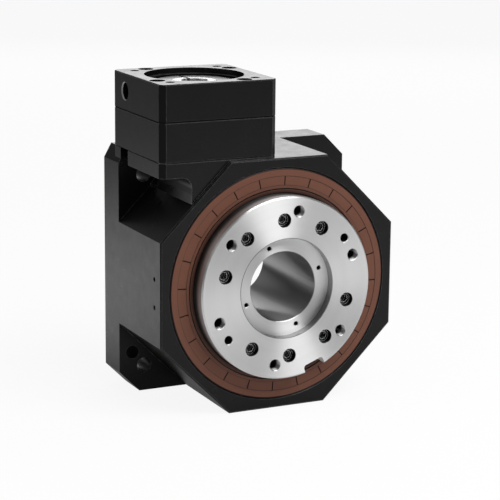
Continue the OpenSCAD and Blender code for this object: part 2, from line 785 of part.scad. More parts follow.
// One tooth space of the ring gear: a trapezium swept along the cutter's arc, which passes
// through the inner end, the contact point and the outer end of the tooth
module tooth_space() {
    inner_z = sqrt(pow(tooth_inner_d / 2, 2) - pow(input_offset, 2));
    first = ring_tooth_point(inner_z);
    last = ring_tooth_point(ring_edge_z);
    middle = ring_tooth_point(contact_z) - first;
    chord = norm(last - first);
    along = (last - first) / chord;
    aside = [along.y, -along.x];
    bulge = middle * aside;
    back = (chord * chord / 4 - pow(middle * along - chord / 2, 2) - bulge * bulge) / 2 / bulge;
    cutter_r = norm([back, chord / 2]);
    centre = (first + last) / 2 - aside * back;
    sweep = 2 * asin((chord / 2 + 4) / cutter_r);
    top = ring_addendum + 0.4;
    deep = pinion_addendum + tip_room;
    half_top = space_w / 2 + top * tan(flank_angle);
    half_root = space_w / 2 - deep * tan(flank_angle);
    translate([centre.x, pitch_y, centre.y])
        rotate([0, -atan2(aside.y, aside.x) - sweep / 2, 0]) rotate([-90, 0, 0])
            rotate_extrude(angle = sweep, $fn = 240) polygon([
                [cutter_r - half_root, -deep], [cutter_r + half_root, -deep],
                [cutter_r + half_top, top], [cutter_r - half_top, top]
            ]);
}

module ring_gear() {
    color("#8a8d90") difference() {
        revolve_y([
            [ring_gear_bore / 2, main_bearing_back], [ring_gear_r, main_bearing_back],
            [ring_gear_r, tooth_top_y], [tooth_inner_d / 2, tooth_top_y],
            [tooth_inner_d / 2, gear_web_y], [ring_gear_bore / 2, gear_web_y]
        ]);
        for (k = [1:ring_teeth])
            rotate([0, 360 / ring_teeth * k, 0]) tooth_space();
        around_output(gear_screw_angles, gear_screw_pcd / 2, main_bearing_back - cut)
            cylinder(d = gear_screw_d, h = gear_screw_d + cut);
    }
}

// ---- rear bearing and cover ----

// One ring of a ball bearing, as a profile with a round groove facing the balls
module bearing_ring(face_r, back_r, pitch_r, groove_r, width) {
    rotate_extrude() difference() {
        translate([min(face_r, back_r), 0]) square([abs(back_r - face_r), width]);
        translate([pitch_r, width / 2]) circle(r = groove_r);
    }
}

// Faces of the rings stand this far from the ball centres
function ring_face(ball_d) = ball_d * 0.28;

module ball_ring(count, pitch_r, ball_d, level) {
    for (k = [1:count])
        rotate([0, 0, 360 / count * k]) translate([pitch_r, 0, level]) sphere(d = ball_d, $fn = 24);
}

module rear_bearing_outer() {
    color("#a4a7aa") translate([0, rear_bearing_y, 0]) rotate([-90, 0, 0])
        bearing_ring(rear_pitch_r + ring_face(rear_ball_d), rear_bearing_d / 2, rear_pitch_r,
            rear_ball_d / 2 + track_gap, rear_bearing_w);
}

module rear_bearing_inner() {
    color("#a4a7aa") translate([0, rear_bearing_y, 0]) rotate([-90, 0, 0])
        bearing_ring(rear_pitch_r - ring_face(rear_ball_d), hollow_r, rear_pitch_r,
            rear_ball_d / 2 + track_gap, rear_bearing_w);
}

module rear_bearing_balls() {
    color("#c9ccce") translate([0, rear_bearing_y, 0]) rotate([-90, 0, 0])
        ball_ring(rear_balls, rear_pitch_r, rear_ball_d, rear_bearing_w / 2);
}

module rear_cover() {
    color("#2b2c2e") difference() {
        ring_y(cover_d / 2, rear_bearing_d / 2 - 2.5, cover_y, cover_back);
        disc_y(rear_lip_carrier_r, cover_y + 1.5, cover_back + cut);
        around_output([for (k = [1:cover_screws]) 360 / cover_screws * k], cover_screw_r,
            cover_back - cover_screw_d - 0.5) rotate([180, 0, 0])
            screw_hole(cover_screw_d, cover_t, cover_t, 1.5 * cover_screw_d + 0.6,
                cover_screw_d + 0.5 + cut);
    }
}

module rear_cover_screws() {
    color("#4a4b4d")
        around_output([for (k = [1:cover_screws]) 360 / cover_screws * k], cover_screw_r,
            cover_back - cover_screw_d - 0.5) rotate([180, 0, 0])
            cap_screw(cover_screw_d, cover_t - cover_screw_d - 0.5 + 3 * cover_screw_d - 1);
}

module rear_seal() {
    lip = hollow_r + lip_gap;
    color("#73473a") revolve_y([
        [lip + 0.6, cover_y + 1.5], [rear_lip_carrier_r, cover_y + 1.5],
        [rear_lip_carrier_r, cover_back], [lip + 2.6, cover_back],
        [lip + 2.6, cover_back - 2], [lip + 1, cover_back - 2], [lip, cover_back - 3.5]
    ]);
}

// ---- input shaft, its bearings and the pinion ----

module input_shaft() {
    bore_low = hub_top - hub_bore_deep;
    color("#b4b7b9") at_input() difference() {
        rotate_extrude() polygon([
            [0, nut_low], [journal_r, nut_low], [journal_r, circlip_z], [hub_r, circlip_z],
            [hub_r, hub_top - 0.8], [hub_r - 0.8, hub_top], [0, hub_top]
        ]);
        disc_z(hub_bore_d / 2, bore_low, hub_top + cut);
        translate([0, 0, hub_top - 0.6])
            cylinder(d1 = hub_bore_d, d2 = hub_bore_d + 2 * (0.6 + cut), h = 0.6 + cut);
        disc_z(pinion_stub_d / 2, nut_low - cut, nut_low + pinion_stub_l);
        translate([-slot_w / 2, 0, collar_low - 4]) cube([slot_w, hub_d, hub_top]);
    }
}

// Half the angle that a pinion tooth takes up at height z and this radius
function half_tooth(z, radius) = let (
    slope = tooth_slope(z),
    axial = sqrt(1 + slope * slope) / slope,
    thick = space_w - backlash - 2 * (radius - pinion_pitch_r) * tan(flank_angle)
) abs(pinion_lead(z)) * thick * axial / 2 * 180 / PI;

// Outline of one space between two pinion teeth at height z, from flank to flank
function pinion_space(z) = let (
    middle = -90 + mesh_turn + pinion_turn(z) + 180 / pinion_teeth,
    outer = pinion_tip_r + 0.8,
    flank = [outer, pinion_pitch_r, pinion_root_r],
    halves = [for (radius = flank) 180 / pinion_teeth - half_tooth(z, radius)]
) [
    for (k = [0:2]) [flank[k], middle + halves[k]],
    for (k = [2:-1:0]) [flank[k], middle - halves[k]],
    [outer / cos(halves[0]), middle]
];

// The cutter's path through one space: its outlines joined along the pinion
module pinion_space_cut() {
    over = 1.2;
    steps = 26;
    corners = 7;
    points = [
        for (k = [0:steps])
            let (z = pinion_low - over + (pinion_face + 2 * over) * k / steps)
                for (point = pinion_space(z))
                    [point[0] * cos(point[1]), point[0] * sin(point[1]), z]
    ];
    low_cap = [for (k = [0:corners - 1]) k];
    high_cap = [for (k = [corners - 1:-1:0]) steps * corners + k];
    sides = [
        for (s = [0:steps - 1]) for (k = [0:corners - 1])
            let (
                a = s * corners + k, b = s * corners + (k + 1) % corners,
                c = b + corners, d = a + corners
            ) for (face = [[a, d, c], [a, c, b]]) face
    ];
    polyhedron(points, [low_cap, high_cap, each sides]);
}

module hypoid_pinion() {
    low = pinion_low - 0.8;
    shoulder_z = ring_edge_z + 3;
    stub_r = pinion_stub_d / 2;
    shaft_r = pinion_shaft_d / 2;
    color("#8a8d90") at_input() difference() {
        rotate_extrude() polygon([
            [0, low], [stub_r, low], [stub_r, pinion_low], [pinion_tip_r - 0.6, pinion_low],
            [pinion_tip_r, pinion_low + 0.6], [pinion_tip_r, pinion_top - 0.6],
            [pinion_tip_r - 0.6, pinion_top], [stub_r, pinion_top], [stub_r, shoulder_z],
            [shaft_r, shoulder_z + 1], [shaft_r, nut_low], [stub_r, nut_low],
            [stub_r, nut_low + pinion_stub_l], [0, nut_low + pinion_stub_l]
        ]);
        for (k = [1:pinion_teeth]) rotate([0, 0, 360 / pinion_teeth * k]) pinion_space_cut();
    }
}

module clamp_collar() {
    head_x = sqrt(pow(collar_d / 2, 2) - pow(clamp_screw_out, 2));
    color("#9b9ea1") at_input() difference() {
        ring_z(collar_d / 2, hub_r, collar_low, collar_low + collar_h);
        translate([-slot_w / 2, 0, collar_low - cut]) cube([slot_w, collar_d, collar_h + 2 * cut]);
        translate([clamp_seat_x(), clamp_screw_out, clamp_z]) rotate([0, 90, 0])
            screw_hole(clamp_screw_d, -clamp_seat_x(), head_x - clamp_seat_x() + cut,
                1.5 * clamp_screw_d + 0.6, head_x);
    }
}

function clamp_seat_x() = -slot_w / 2 - 6;

module clamp_screw() {
    color("#4a4b4d") at_input() translate([clamp_seat_x(), clamp_screw_out, clamp_z])
        rotate([0, 90, 0]) cap_screw(clamp_screw_d, clamp_screw_l);
}

module lock_nut() {
    color("#8e9194") at_input() difference() {
        ring_z(nut_r, journal_r, nut_low, lower_bearing_z);
        for (k = [0:3]) rotate([0, 0, 90 * k])
            translate([nut_r - 2, -2, nut_low - cut]) cube([4, 4, lock_nut_h + 2 * cut]);
    }
}

module bearing_circlip() {
    color("#6f7274") at_input() difference() {
        ring_z(input_bearing_r + 1, input_bearing_r - 3, circlip_z, input_seal_z);
        translate([0, -circlip_gap / 2, circlip_z - cut])
            cube([input_bearing_d, circlip_gap, circlip_t + 2 * cut]);
    }
}

module input_seal() {
    lip = hub_r + lip_gap;
    top = input_seal_z + input_seal_h;
    color("#73473a") at_input() rotate_extrude() polygon([
        [lip + 0.8, input_seal_z], [input_bearing_r, input_seal_z], [input_bearing_r, top],
        [lip + 2.4, top], [lip + 2.4, top - 1.5], [lip + 0.8, top - 1.5], [lip, top - 3]
    ]);
}

module inner_spacer() {
    color("#9b9ea1") at_input()
        ring_z(journal_r + 2.4, journal_r, lower_bearing_z + input_bearing_w, upper_bearing_z);
}

module outer_spacer() {
    color("#9b9ea1") at_input()
        ring_z(input_bearing_r, input_bearing_r - 2.4, lower_bearing_z + input_bearing_w,
            upper_bearing_z);
}

module input_bearing_outer(level) {
    color("#a4a7aa") at_input() translate([0, 0, level])
        bearing_ring(input_pitch_r + ring_face(input_ball_d), input_bearing_r, input_pitch_r,
            input_ball_d / 2 + track_gap, input_bearing_w);
}

module input_bearing_inner(level) {
    color("#a4a7aa") at_input() translate([0, 0, level])
        bearing_ring(input_pitch_r - ring_face(input_ball_d), journal_r, input_pitch_r,
            input_ball_d / 2 + track_gap, input_bearing_w);
}

module input_bearing_balls(level) {
    color("#c9ccce") at_input()
        ball_ring(input_balls, input_pitch_r, input_ball_d, level + input_bearing_w / 2);
}

module upper_bearing_outer() { input_bearing_outer(upper_bearing_z); }
module upper_bearing_inner() { input_bearing_inner(upper_bearing_z); }
module upper_bearing_balls() { input_bearing_balls(upper_bearing_z); }
module lower_bearing_outer() { input_bearing_outer(lower_bearing_z); }
module lower_bearing_inner() { input_bearing_inner(lower_bearing_z); }
module lower_bearing_balls() { input_bearing_balls(lower_bearing_z); }

housing();
input_housing();
input_housing_screws();
motor_adapter();
adapter_screws();
output_seal();
bearing_retainer();
bearing_outer_ring();
crossed_rollers();
bearing_inner_ring();
output_flange();
flange_screws();
hollow_shaft();
gear_carrier();
ring_gear();
gear_screws();
rear_bearing_outer();
rear_bearing_inner();
rear_bearing_balls();
rear_cover();
rear_cover_screws();
rear_seal();
input_shaft();
hypoid_pinion();
clamp_collar();
clamp_screw();
lock_nut();
bearing_circlip();
input_seal();
inner_spacer();
outer_spacer();
upper_bearing_outer();
upper_bearing_inner();
upper_bearing_balls();
lower_bearing_outer();
lower_bearing_inner();
lower_bearing_balls();
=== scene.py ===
import json
import math

import bpy
from mathutils import Matrix, Vector


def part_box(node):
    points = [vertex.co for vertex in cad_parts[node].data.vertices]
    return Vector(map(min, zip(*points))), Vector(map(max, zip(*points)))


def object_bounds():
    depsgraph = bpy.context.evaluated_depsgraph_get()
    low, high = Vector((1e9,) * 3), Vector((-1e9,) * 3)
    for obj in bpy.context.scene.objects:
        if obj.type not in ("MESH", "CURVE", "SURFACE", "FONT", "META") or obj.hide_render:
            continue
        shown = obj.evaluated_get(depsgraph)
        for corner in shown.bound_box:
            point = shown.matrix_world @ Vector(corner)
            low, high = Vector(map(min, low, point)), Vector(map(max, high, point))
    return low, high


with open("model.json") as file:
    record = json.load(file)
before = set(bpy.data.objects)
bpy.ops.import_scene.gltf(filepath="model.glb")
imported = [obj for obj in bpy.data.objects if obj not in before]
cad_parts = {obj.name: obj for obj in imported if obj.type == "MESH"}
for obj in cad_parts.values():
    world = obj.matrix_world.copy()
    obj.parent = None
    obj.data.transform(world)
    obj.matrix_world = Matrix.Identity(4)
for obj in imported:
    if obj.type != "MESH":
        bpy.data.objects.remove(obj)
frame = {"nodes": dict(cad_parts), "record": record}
cad_low, cad_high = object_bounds()

# All sizes are in metres and in the part's own frame: +Z is up and the output faces -Y.

# ---- camera ----

CAMERA_AT = Vector((-0.57542, -1.15100, 0.32178))
CAMERA_FORWARD = Vector((0.42449, 0.87840, -0.21958))
CAMERA_UP = Vector((0.08658, 0.20203, 0.97555))
CAMERA_LENS = 136.06
CAMERA_SENSOR = 36.0
CAMERA_SHIFT = (-0.0092, -0.0210)
CAMERA_CLIP = (0.05, 30.0)

# ---- studio ----

# White table: its paint, and the share of plain light that a direct and a glossy look at it see
# in place of the paint
FLOOR_HALF = 3.0
FLOOR_GREY = 0.90
FLOOR_PLAIN = 0.90
FLOOR_GLOSSY = 0.60

# What gloss sees on the table: round pools of light, each (x and y of its middle, reach,
# strength), over a dim level. Strength times FLOOR_GLOSSY stays below plain white. Under the part
# lies a shade, (x and y of its middle, reach at full depth, reach at its end), that leaves a share
# of the light.
TABLE_POOLS = (((-0.28, 0.38), 0.62, 1.61), ((0.38, -0.62), 1.00, 1.15),
               ((0.05, -0.16), 0.42, 0.36))
TABLE_DIM = 0.05
CONTACT = ((-0.02, 0.10), 0.06, 0.17)
CONTACT_SHARE = 0.45

# What gloss sees of the room: bright windows on a dark room, each (direction, cosines at which
# it begins and is full, strength outside it). The fill is the light that other rays get.
WINDOWS = (((0.45, 0.87, 0.20), 0.74, 0.98, 0.08), ((-0.80, 0.30, 0.55), 0.80, 0.97, 0.0))
WORLD_FILL = 0.38

# Soft boxes: (place from the part's middle, width, height, power)
SOFT_BOXES = {
    "key_softbox": ((0.38, -0.95, 1.30), 1.2, 0.9, 23.0),
    "back_softbox": ((0.90, 1.75, 0.62), 1.6, 0.8, 6.0),
}

# ---- colours ----


def grey(value):
    return (value, value, value, 1.0)


ANODISED_DARK, ANODISED_LIGHT = grey(0.0020), grey(0.0044)
# Worn edges of the black castings, lightened to serve as painted edge highlights too
ANODISED_WORN_HIGHLIGHT = grey(0.26)
# Painted highlight on the chamfer round the key hole
KEY_RIM_HIGHLIGHT_GREY = grey(0.34)
# Painted shade in the adapter's joint
SEAM_SHADE_BLACK = grey(0.0005)

STEEL_WORN = grey(0.85)
# Painted shade: darker grey of the recess and bore walls
WALL_SHADE_GREY = grey(0.34)
# Flange side: its own bright grey by the rim, and painted shade towards the seal
SIDE_BRIGHT, SIDE_SHADE = grey(0.78), grey(0.10)
# Painted shade in the holes
HOLE_SHADE_DARK = grey(0.02)
# Painted shade line round the recess
RECESS_SHADE_LINE = grey(0.16)

GEAR_GREY, GEAR_TINT = (0.36, 0.36, 0.37, 1.0), (0.27, 0.25, 0.23, 1.0)
OXIDE_DARK, OXIDE_LIGHT, OXIDE_WORN_HIGHLIGHT = grey(0.007), grey(0.018), grey(0.90)

SEAL_BROWN, SEAL_PALER = (0.140, 0.052, 0.031, 1.0), (0.172, 0.067, 0.040, 1.0)
SEAL_SPECK = (0.090, 0.034, 0.021, 1.0)
SEAL_WORN = (0.33, 0.19, 0.145, 1.0)
SEAL_SHADE = (0.010, 0.004, 0.003, 1.0)

# ---- places on the part ----


def mount_named(name):
    return next(mount for mount in frame["record"]["mounts"] if mount["name"] == name)


shaft_low, shaft_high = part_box("input_shaft")
seal_low, seal_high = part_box("output_seal")
flange_low, flange_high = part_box("output_flange")
adapter_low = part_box("motor_adapter")[0]

OUTPUT_AXIS = Vector((0.0, 0.0, 0.0))
INPUT_AXIS = (shaft_low + shaft_high) / 2
SEAL_FRONT = seal_low.y
SEAL_R = seal_high.x
FLANGE_FRONT = flange_low.y
FLANGE_R = flange_high.x
BORE_R = mount_named("through_bore")["dims"]["r_mm"] / 1000
RECESS_R = mount_named("load_recess")["dims"]["r_mm"] / 1000
RECESS_FLOOR = mount_named("collar_screw_holes")["pos_m"][1]

# Tapped holes of the load circle: the turn of the first, the radius that takes in their chamfer,
# and their places in (x, z)
LOAD_CIRCLE = mount_named("load_screw_holes")["dims"]
LOAD_R = LOAD_CIRCLE["pcd_mm"] / 2000
LOAD_TURN = 21
LOAD_TURNS = [math.radians(LOAD_TURN + 360 / LOAD_CIRCLE["count"] * k)
              for k in range(LOAD_CIRCLE["count"])]
LOAD_HOLES = [(LOAD_R * math.cos(turn), LOAD_R * math.sin(turn)) for turn in LOAD_TURNS]
LOAD_HOLE_R = 0.0042

# Holes of the flange and collar: how far the band that holds them lies off the wall beside it, how
# softly it ends, the depth at which painted shade turns them dark, over what depth, and what the
# tapped ones add to both
HOLE_BAND_OFF = 0.002
HOLE_BAND_SOFT = 0.0005
HOLE_START, HOLE_FADE = 0.0001, 0.0008
TAPPED_START, TAPPED_FADE = 0.0034, 0.0028

# Painted shade on the flange's side, darker towards the seal: it begins this far behind the
# flange's front and is full this far in front of the seal
SIDE_SHADE_BEHIND = 0.0030
SIDE_SHADE_BEFORE = 0.0020

# Width of the painted shade line round the recess
RECESS_LINE_W = 0.0003

# Output seal: how many radial marks, their turn, half width and soft edge, the radii of the sunk
# band that they cross, and half the width of the painted shade lines along the band's rims
MARKS = 24
MARK_TURN = math.radians(3)
MARK_HALF = 0.00036
MARK_SOFT = 0.00016
MARK_BAND = (0.07075, 0.07730)
RIM_LINE_HALF = 0.00015

# Depth below the seal's front at which painted shade is full and over which it fades in, width of
# the painted shade in the joint with the housing at the seal's edge, and reach of the flange's
# painted shade on its lip
GROOVE_DEPTH, GROOVE_SOFT = 0.00042, 0.00014
JOINT_W = 0.0007
LIP_SHADE = 0.0060

# How much smoother than the turned faces the flange's side, its recess and the bore are
SIDE_SMOOTHER = 0.12
RECESS_SMOOTHER = 0.26
BORE_SMOOTHER = 0.12

# Shares in which worn edges, specks, painted shade lines and painted shade show
STEEL_WEAR, SEAL_WEAR = 0.6, 0.6
SPECK_SHARE = 0.35
RECESS_LINE_SHARE, RIM_LINE_SHARE = 0.8, 0.6
LIP_SHARE = 0.85
GROOVE_SHARE = 0.96

# Roughness of the plate's bolt and dowel holes, and how far the dowel holes lie from the ears'
# diagonal
BOLT_HOLE_ROUGH = 0.42
DOWEL_HOLE_ROUGH = 0.90
DOWEL_TURN = math.radians(8)

# Radius that takes in the chamfer of the clamp screw's key hole, on which a highlight is painted,
# and how far in it reaches
KEY_RIM_R = 0.0064
KEY_RIM_DEEP = 0.0008

# Height, above the adapter's underside, up to which its joint is painted dark as shade
SEAM_HIGH = 0.0006


def plate_holes():
    """(x, z, radius, roughness) of the mounting and dowel holes, seen from the front."""
    ears = mount_named("mounting_holes")["dims"]
    dowels = mount_named("mounting_dowel_holes")["dims"]
    reach = ears["pcd_mm"] / 2000
    turns = [(math.radians(45 + 90 * k), ears["hole_r_mm"], BOLT_HOLE_ROUGH) for k in range(4)]
    turns += [(math.radians(45 + 180 * k) - DOWEL_TURN, dowels["hole_r_mm"], DOWEL_HOLE_ROUGH)
              for k in range(2)]
    return [(reach * math.cos(turn), reach * math.sin(turn), radius / 1000, rough)
            for turn, radius, rough in turns]


def key_hole():
    """(y, z) of the hole for the clamp screw's key, in the adapter's left side."""
    openings = frame["record"]["physics"]["openings"]
    low, high = next(hole["box_m"] for hole in openings if hole["name"] == "clamp_key_hole")
    return (low[1] + high[1]) / 2, (low[2] + high[2]) / 2


# ---- node helpers ----

class Tree:
    """Adds nodes to a material's or world's tree and wires them."""

    # Width over which a mask ends, and the cosines between the bevelled and the true normal
    # on a flat and on a sharp edge
    FADE = 0.0002
    FLAT, SHARP = 0.985, 0.80

    def __init__(self, owner):
        self.tree = owner.node_tree
        self.tree.nodes.clear()

    def set(self, socket, value):
        if isinstance(value, bpy.types.NodeSocket):
            self.tree.links.new(value, socket)
        else:
            socket.default_value = value

    def add(self, kind, inputs=None, **settings):
        node = self.tree.nodes.new(kind)
        for key, value in settings.items():
            setattr(node, key, value)
        for key, value in (inputs or {}).items():
            self.set(node.inputs[key], value)
        return node

    def math(self, operation, first, second=0.0):
        return self.add("ShaderNodeMath", {0: first, 1: second}, operation=operation).outputs[0]

    def times(self, first, second):
        return self.math("MULTIPLY", first, second)

    def ramp(self, value, low, high, to_low=0.0, to_high=1.0):
        node = self.add("ShaderNodeMapRange", {"Value": value, "From Min": low, "From Max": high,
                                               "To Min": to_low, "To Max": to_high},
                        interpolation_type="SMOOTHSTEP")
        return node.outputs["Result"]

    def spread(self, noise, low, high, tail=0.3):
        """A noise, which keeps near its middle, spread over a range of values."""
        return self.ramp(noise, tail, 1.0 - tail, low, high)

    def below(self, value, limit, fade=FADE):
        """1 up to the limit, 0 past it."""
        return self.ramp(value, limit + fade, limit)

    def above(self, value, limit, fade=FADE):
        """1 from the limit on, 0 short of it."""
        return self.ramp(value, limit - fade, limit)

    def mix(self, factor, first, second):
        # Inputs 0, 6 and 7 and output 2 are the node's sockets for colours
        node = self.add("ShaderNodeMix", {0: factor, 6: first, 7: second}, data_type="RGBA")
        return node.outputs[2]

    def noise(self, vector, scale, detail=3.0, roughness=0.5):
        node = self.add("ShaderNodeTexNoise", {"Vector": vector, "Scale": scale,
                                               "Detail": detail, "Roughness": roughness})
        return node.outputs["Fac"]

    def position(self):
        return self.add("ShaderNodeTexCoord").outputs["Object"]

    def split(self, vector):
        return self.add("ShaderNodeSeparateXYZ", {"Vector": vector}).outputs

    def vector_math(self, operation, first, second, output="Value"):
        return self.add("ShaderNodeVectorMath", {0: first, 1: second},
                        operation=operation).outputs[output]

    def away(self, first, second, middle=(0.0, 0.0)):
        """Distance from a point in a plane, from the two coordinates in that plane."""
        across = self.math("SUBTRACT", first, middle[0])
        up = self.math("SUBTRACT", second, middle[1])
        squares = self.math("ADD", self.times(across, across), self.times(up, up))
        return self.math("SQRT", squares)

    def bump(self, height, strength, distance):
        return self.add("ShaderNodeBump", {"Height": height, "Strength": strength,
                                           "Distance": distance}).outputs["Normal"]

    def edge(self, radius):
        """1 on a sharp edge, 0 on the flats beside it."""
        bevel = self.add("ShaderNodeBevel", {"Radius": radius}, samples=4).outputs[0]
        flat = self.add("ShaderNodeNewGeometry").outputs["Normal"]
        return self.ramp(self.vector_math("DOT_PRODUCT", bevel, flat), self.FLAT, self.SHARP)

    def finish(self, inputs):
        shader = self.add("ShaderNodeBsdfPrincipled", inputs)
        self.add("ShaderNodeOutputMaterial", {"Surface": shader.outputs[0]})


def new_material(name):
    material = bpy.data.materials.new(name)
    material.use_nodes = True
    return material


def lathe_coordinates(tree, position, axis, centre):
    """(radius, depth, 0) about an axis: turning marks follow it on faces and on cylinders."""
    x, y, z = tree.split(tree.vector_math("SUBTRACT", position, tuple(centre), "Vector"))
    across, depth = (z, y) if axis == "Y" else (y, z)
    radius = tree.away(x, across)
    vector = tree.add("ShaderNodeCombineXYZ", {"X": radius, "Y": depth}).outputs[0]
    return vector, radius, depth


# ---- black castings ----

def anodised(name):
    """Black anodised, bead-blasted aluminium: fine grain, a faint bloom, edges worn lighter that
    also serve as painted highlights, a painted highlight on the key hole's chamfer, and painted
    shade in the adapter's joint.
    """
    material = new_material(name)
    tree = Tree(material)
    position = tree.position()
    cloud = tree.noise(position, scale=45.0, detail=4.0)
    grain = tree.noise(position, scale=3800.0, detail=2.0, roughness=0.6)
    worn = tree.times(tree.edge(radius=0.0006), tree.noise(position, scale=260.0))
    seam = seam_shade_line(tree, position)
    colour = tree.mix(cloud, ANODISED_DARK, ANODISED_LIGHT)
    # Worn edges painted lighter, which also serve as painted edge highlights
    colour = tree.mix(worn, colour, ANODISED_WORN_HIGHLIGHT)
    # Painted highlight: the key hole's chamfer is painted lighter
    colour = tree.mix(key_rim_highlight(tree, position), colour, KEY_RIM_HIGHLIGHT_GREY)
    # Painted shade: the adapter's joint is painted black
    colour = tree.mix(seam, colour, SEAM_SHADE_BLACK)
    rough = tree.spread(tree.noise(position, scale=120.0, detail=4.0), 0.27, 0.33, tail=0.25)
    rough = tree.math("MAXIMUM", rough, drilled(tree, position))
    rough = tree.math("MAXIMUM", rough, seam)
    tree.finish({
        "Base Color": colour, "Roughness": rough, "Metallic": 0.0, "IOR": 1.32,
        "Normal": tree.bump(grain, strength=0.14, distance=0.00010),
    })
    return material


def key_rim_highlight(tree, position):
    """1 on the chamfer round the key hole, where a lighter highlight is painted."""
    x, y, z = tree.split(position)
    near = tree.below(tree.away(y, z, key_hole()), KEY_RIM_R)
    return tree.times(near, tree.below(x, adapter_low.x + KEY_RIM_DEEP, 2 * tree.FADE))


def seam_shade_line(tree, position):
    """1 on the adapter's lower bevel, painted black as the shade in the joint."""
    z = tree.split(position)[2]
    return tree.times(tree.above(z, adapter_low.z - tree.FADE / 2),
                      tree.below(z, adapter_low.z + SEAM_HIGH))


def drilled(tree, position):
    """Roughness of the walls of the plate's drilled holes, 0 elsewhere."""
    x, _, z = tree.split(position)
    inside = 0.0
    for across, up, radius, rough in plate_holes():
        near = tree.below(tree.away(x, z, (across, up)), radius + tree.FADE / 2)
        inside = tree.math("MAXIMUM", tree.times(near, rough), inside)
    return inside


# ---- turned steel ----

def turned_steel(name, centre, axis="Y", light=0.84, dark=0.74, rough=0.46, anisotropy=0.9,
                 walls=None, marks=None):
    """Turned steel: fine rings about its axis stretch the highlights into fans.

    walls changes colour and roughness under the worn edges, with painted shade, and marks paints
    shade over them.
    """
    material = new_material(name)
    tree = Tree(material)
    position = tree.position()
    lathe, radius, level = lathe_coordinates(tree, position, axis, centre)
    rings = tree.noise(lathe, scale=5200.0, detail=2.0, roughness=0.7)
    bands = tree.noise(lathe, scale=420.0)
    smear = tree.noise(position, scale=35.0, detail=4.0)
    colour = tree.mix(tree.times(bands, smear), grey(light), grey(dark))
    roughness = tree.spread(rings, rough - 0.04, rough + 0.05, tail=0.2)
    if walls is not None:
        colour, roughness = walls(tree, radius, level, colour, roughness)
    worn = tree.times(tree.edge(radius=0.0005), STEEL_WEAR)
    colour = tree.mix(worn, colour, STEEL_WORN)
    if marks is not None:
        colour = marks(tree, position, radius, level, colour)
    tangent = tree.add("ShaderNodeTangent", direction_type="RADIAL", axis=axis).outputs[0]
    tree.finish({
        "Base Color": colour, "Roughness": roughness, "Metallic": 1.0,
        "Anisotropic": anisotropy, "Anisotropic Rotation": 0.25, "Tangent": tangent,
        "Normal": tree.bump(rings, strength=0.05, distance=0.00004),
    })
    return material


def smoother(tree, rough, mask, by):
    """A roughness that is less by a fixed value within a mask."""
    return tree.math("SUBTRACT", rough, tree.times(mask, by))


def flange_walls(tree, radius, level, colour, rough):
    """Smoother side, with painted shade towards the seal, and the recess wall painted a darker
    grey as shade.
    """
    side = tree.above(radius, FLANGE_R - tree.FADE)
    film = tree.ramp(level, FLANGE_FRONT + SIDE_SHADE_BEHIND, SEAL_FRONT - SIDE_SHADE_BEFORE)
    # Painted shade on the side, darkening towards the seal
    colour = tree.mix(side, colour, tree.mix(film, SIDE_BRIGHT, SIDE_SHADE))
    rough = smoother(tree, rough, side, SIDE_SMOOTHER)
    recess = tree.below(radius, RECESS_R + tree.FADE / 2, tree.FADE / 2)
    rough = smoother(tree, rough, recess, RECESS_SMOOTHER)
    # Painted shade: the recess wall is painted a darker grey
    return tree.mix(recess, colour, WALL_SHADE_GREY), rough


def shaft_walls(tree, radius, _, colour, rough):
    """Smoother wall of the bore, painted a darker grey as shade."""
    bore = tree.below(radius, BORE_R + tree.FADE / 2)
    # Painted shade: the bore's wall is painted a darker grey
    return tree.mix(bore, colour, WALL_SHADE_GREY), smoother(tree, rough, bore, BORE_SMOOTHER)


def tapped_holes(tree, position):
    """1 in the tapped holes of the load circle, 0 elsewhere."""
    x, _, z = tree.split(position)
    inside = 0.0
    for hole in LOAD_HOLES:
        near = tree.below(tree.away(x, z, hole), LOAD_HOLE_R, 2 * tree.FADE)
        inside = tree.math("MAXIMUM", near, inside)
    return inside


def painted_hole_shade(tree, radius, level, colour, band, start, fade):
    """Painted shade in the holes in a band of radii, dark from a level on, over a depth of fade.
    """
    inner, outer = band
    within = tree.times(tree.above(radius, inner + HOLE_BAND_SOFT, HOLE_BAND_SOFT),
                        tree.below(radius, outer - HOLE_BAND_SOFT, HOLE_BAND_SOFT))
    depth = tree.math("SUBTRACT", level, start)
    # Painted shade: the holes darken with depth
    return tree.mix(tree.times(within, tree.ramp(depth, 0.0, fade)), colour, HOLE_SHADE_DARK)


def flange_painted_shade(tree, position, radius, level, colour):
    """Painted shade in the holes, deeper down in the lit tapped ones, and a painted shade line
    round the recess.
    """
    tapped = tapped_holes(tree, position)
    start = tree.math("ADD", tree.times(tapped, TAPPED_START), FLANGE_FRONT + HOLE_START)
    fade = tree.math("ADD", tree.times(tapped, TAPPED_FADE), HOLE_FADE)
    band = (RECESS_R + HOLE_BAND_OFF, LOAD_R + LOAD_HOLE_R)
    colour = painted_hole_shade(tree, radius, level, colour, band, start, fade)
    # Painted shade line round the recess's edge
    line = tree.times(tree.below(radius, RECESS_R + RECESS_LINE_W, 2 * tree.FADE),
                      tree.below(level, FLANGE_FRONT + tree.FADE))
    return tree.mix(tree.times(line, RECESS_LINE_SHARE), colour, RECESS_SHADE_LINE)


def shaft_painted_shade(tree, _, radius, level, colour):
    """Painted shade in the holes of the collar."""
    band = (BORE_R + HOLE_BAND_OFF, RECESS_R - HOLE_BAND_OFF)
    return painted_hole_shade(tree, radius, level, colour, band, RECESS_FLOOR + HOLE_START, HOLE_FADE)


# ---- other steels ----

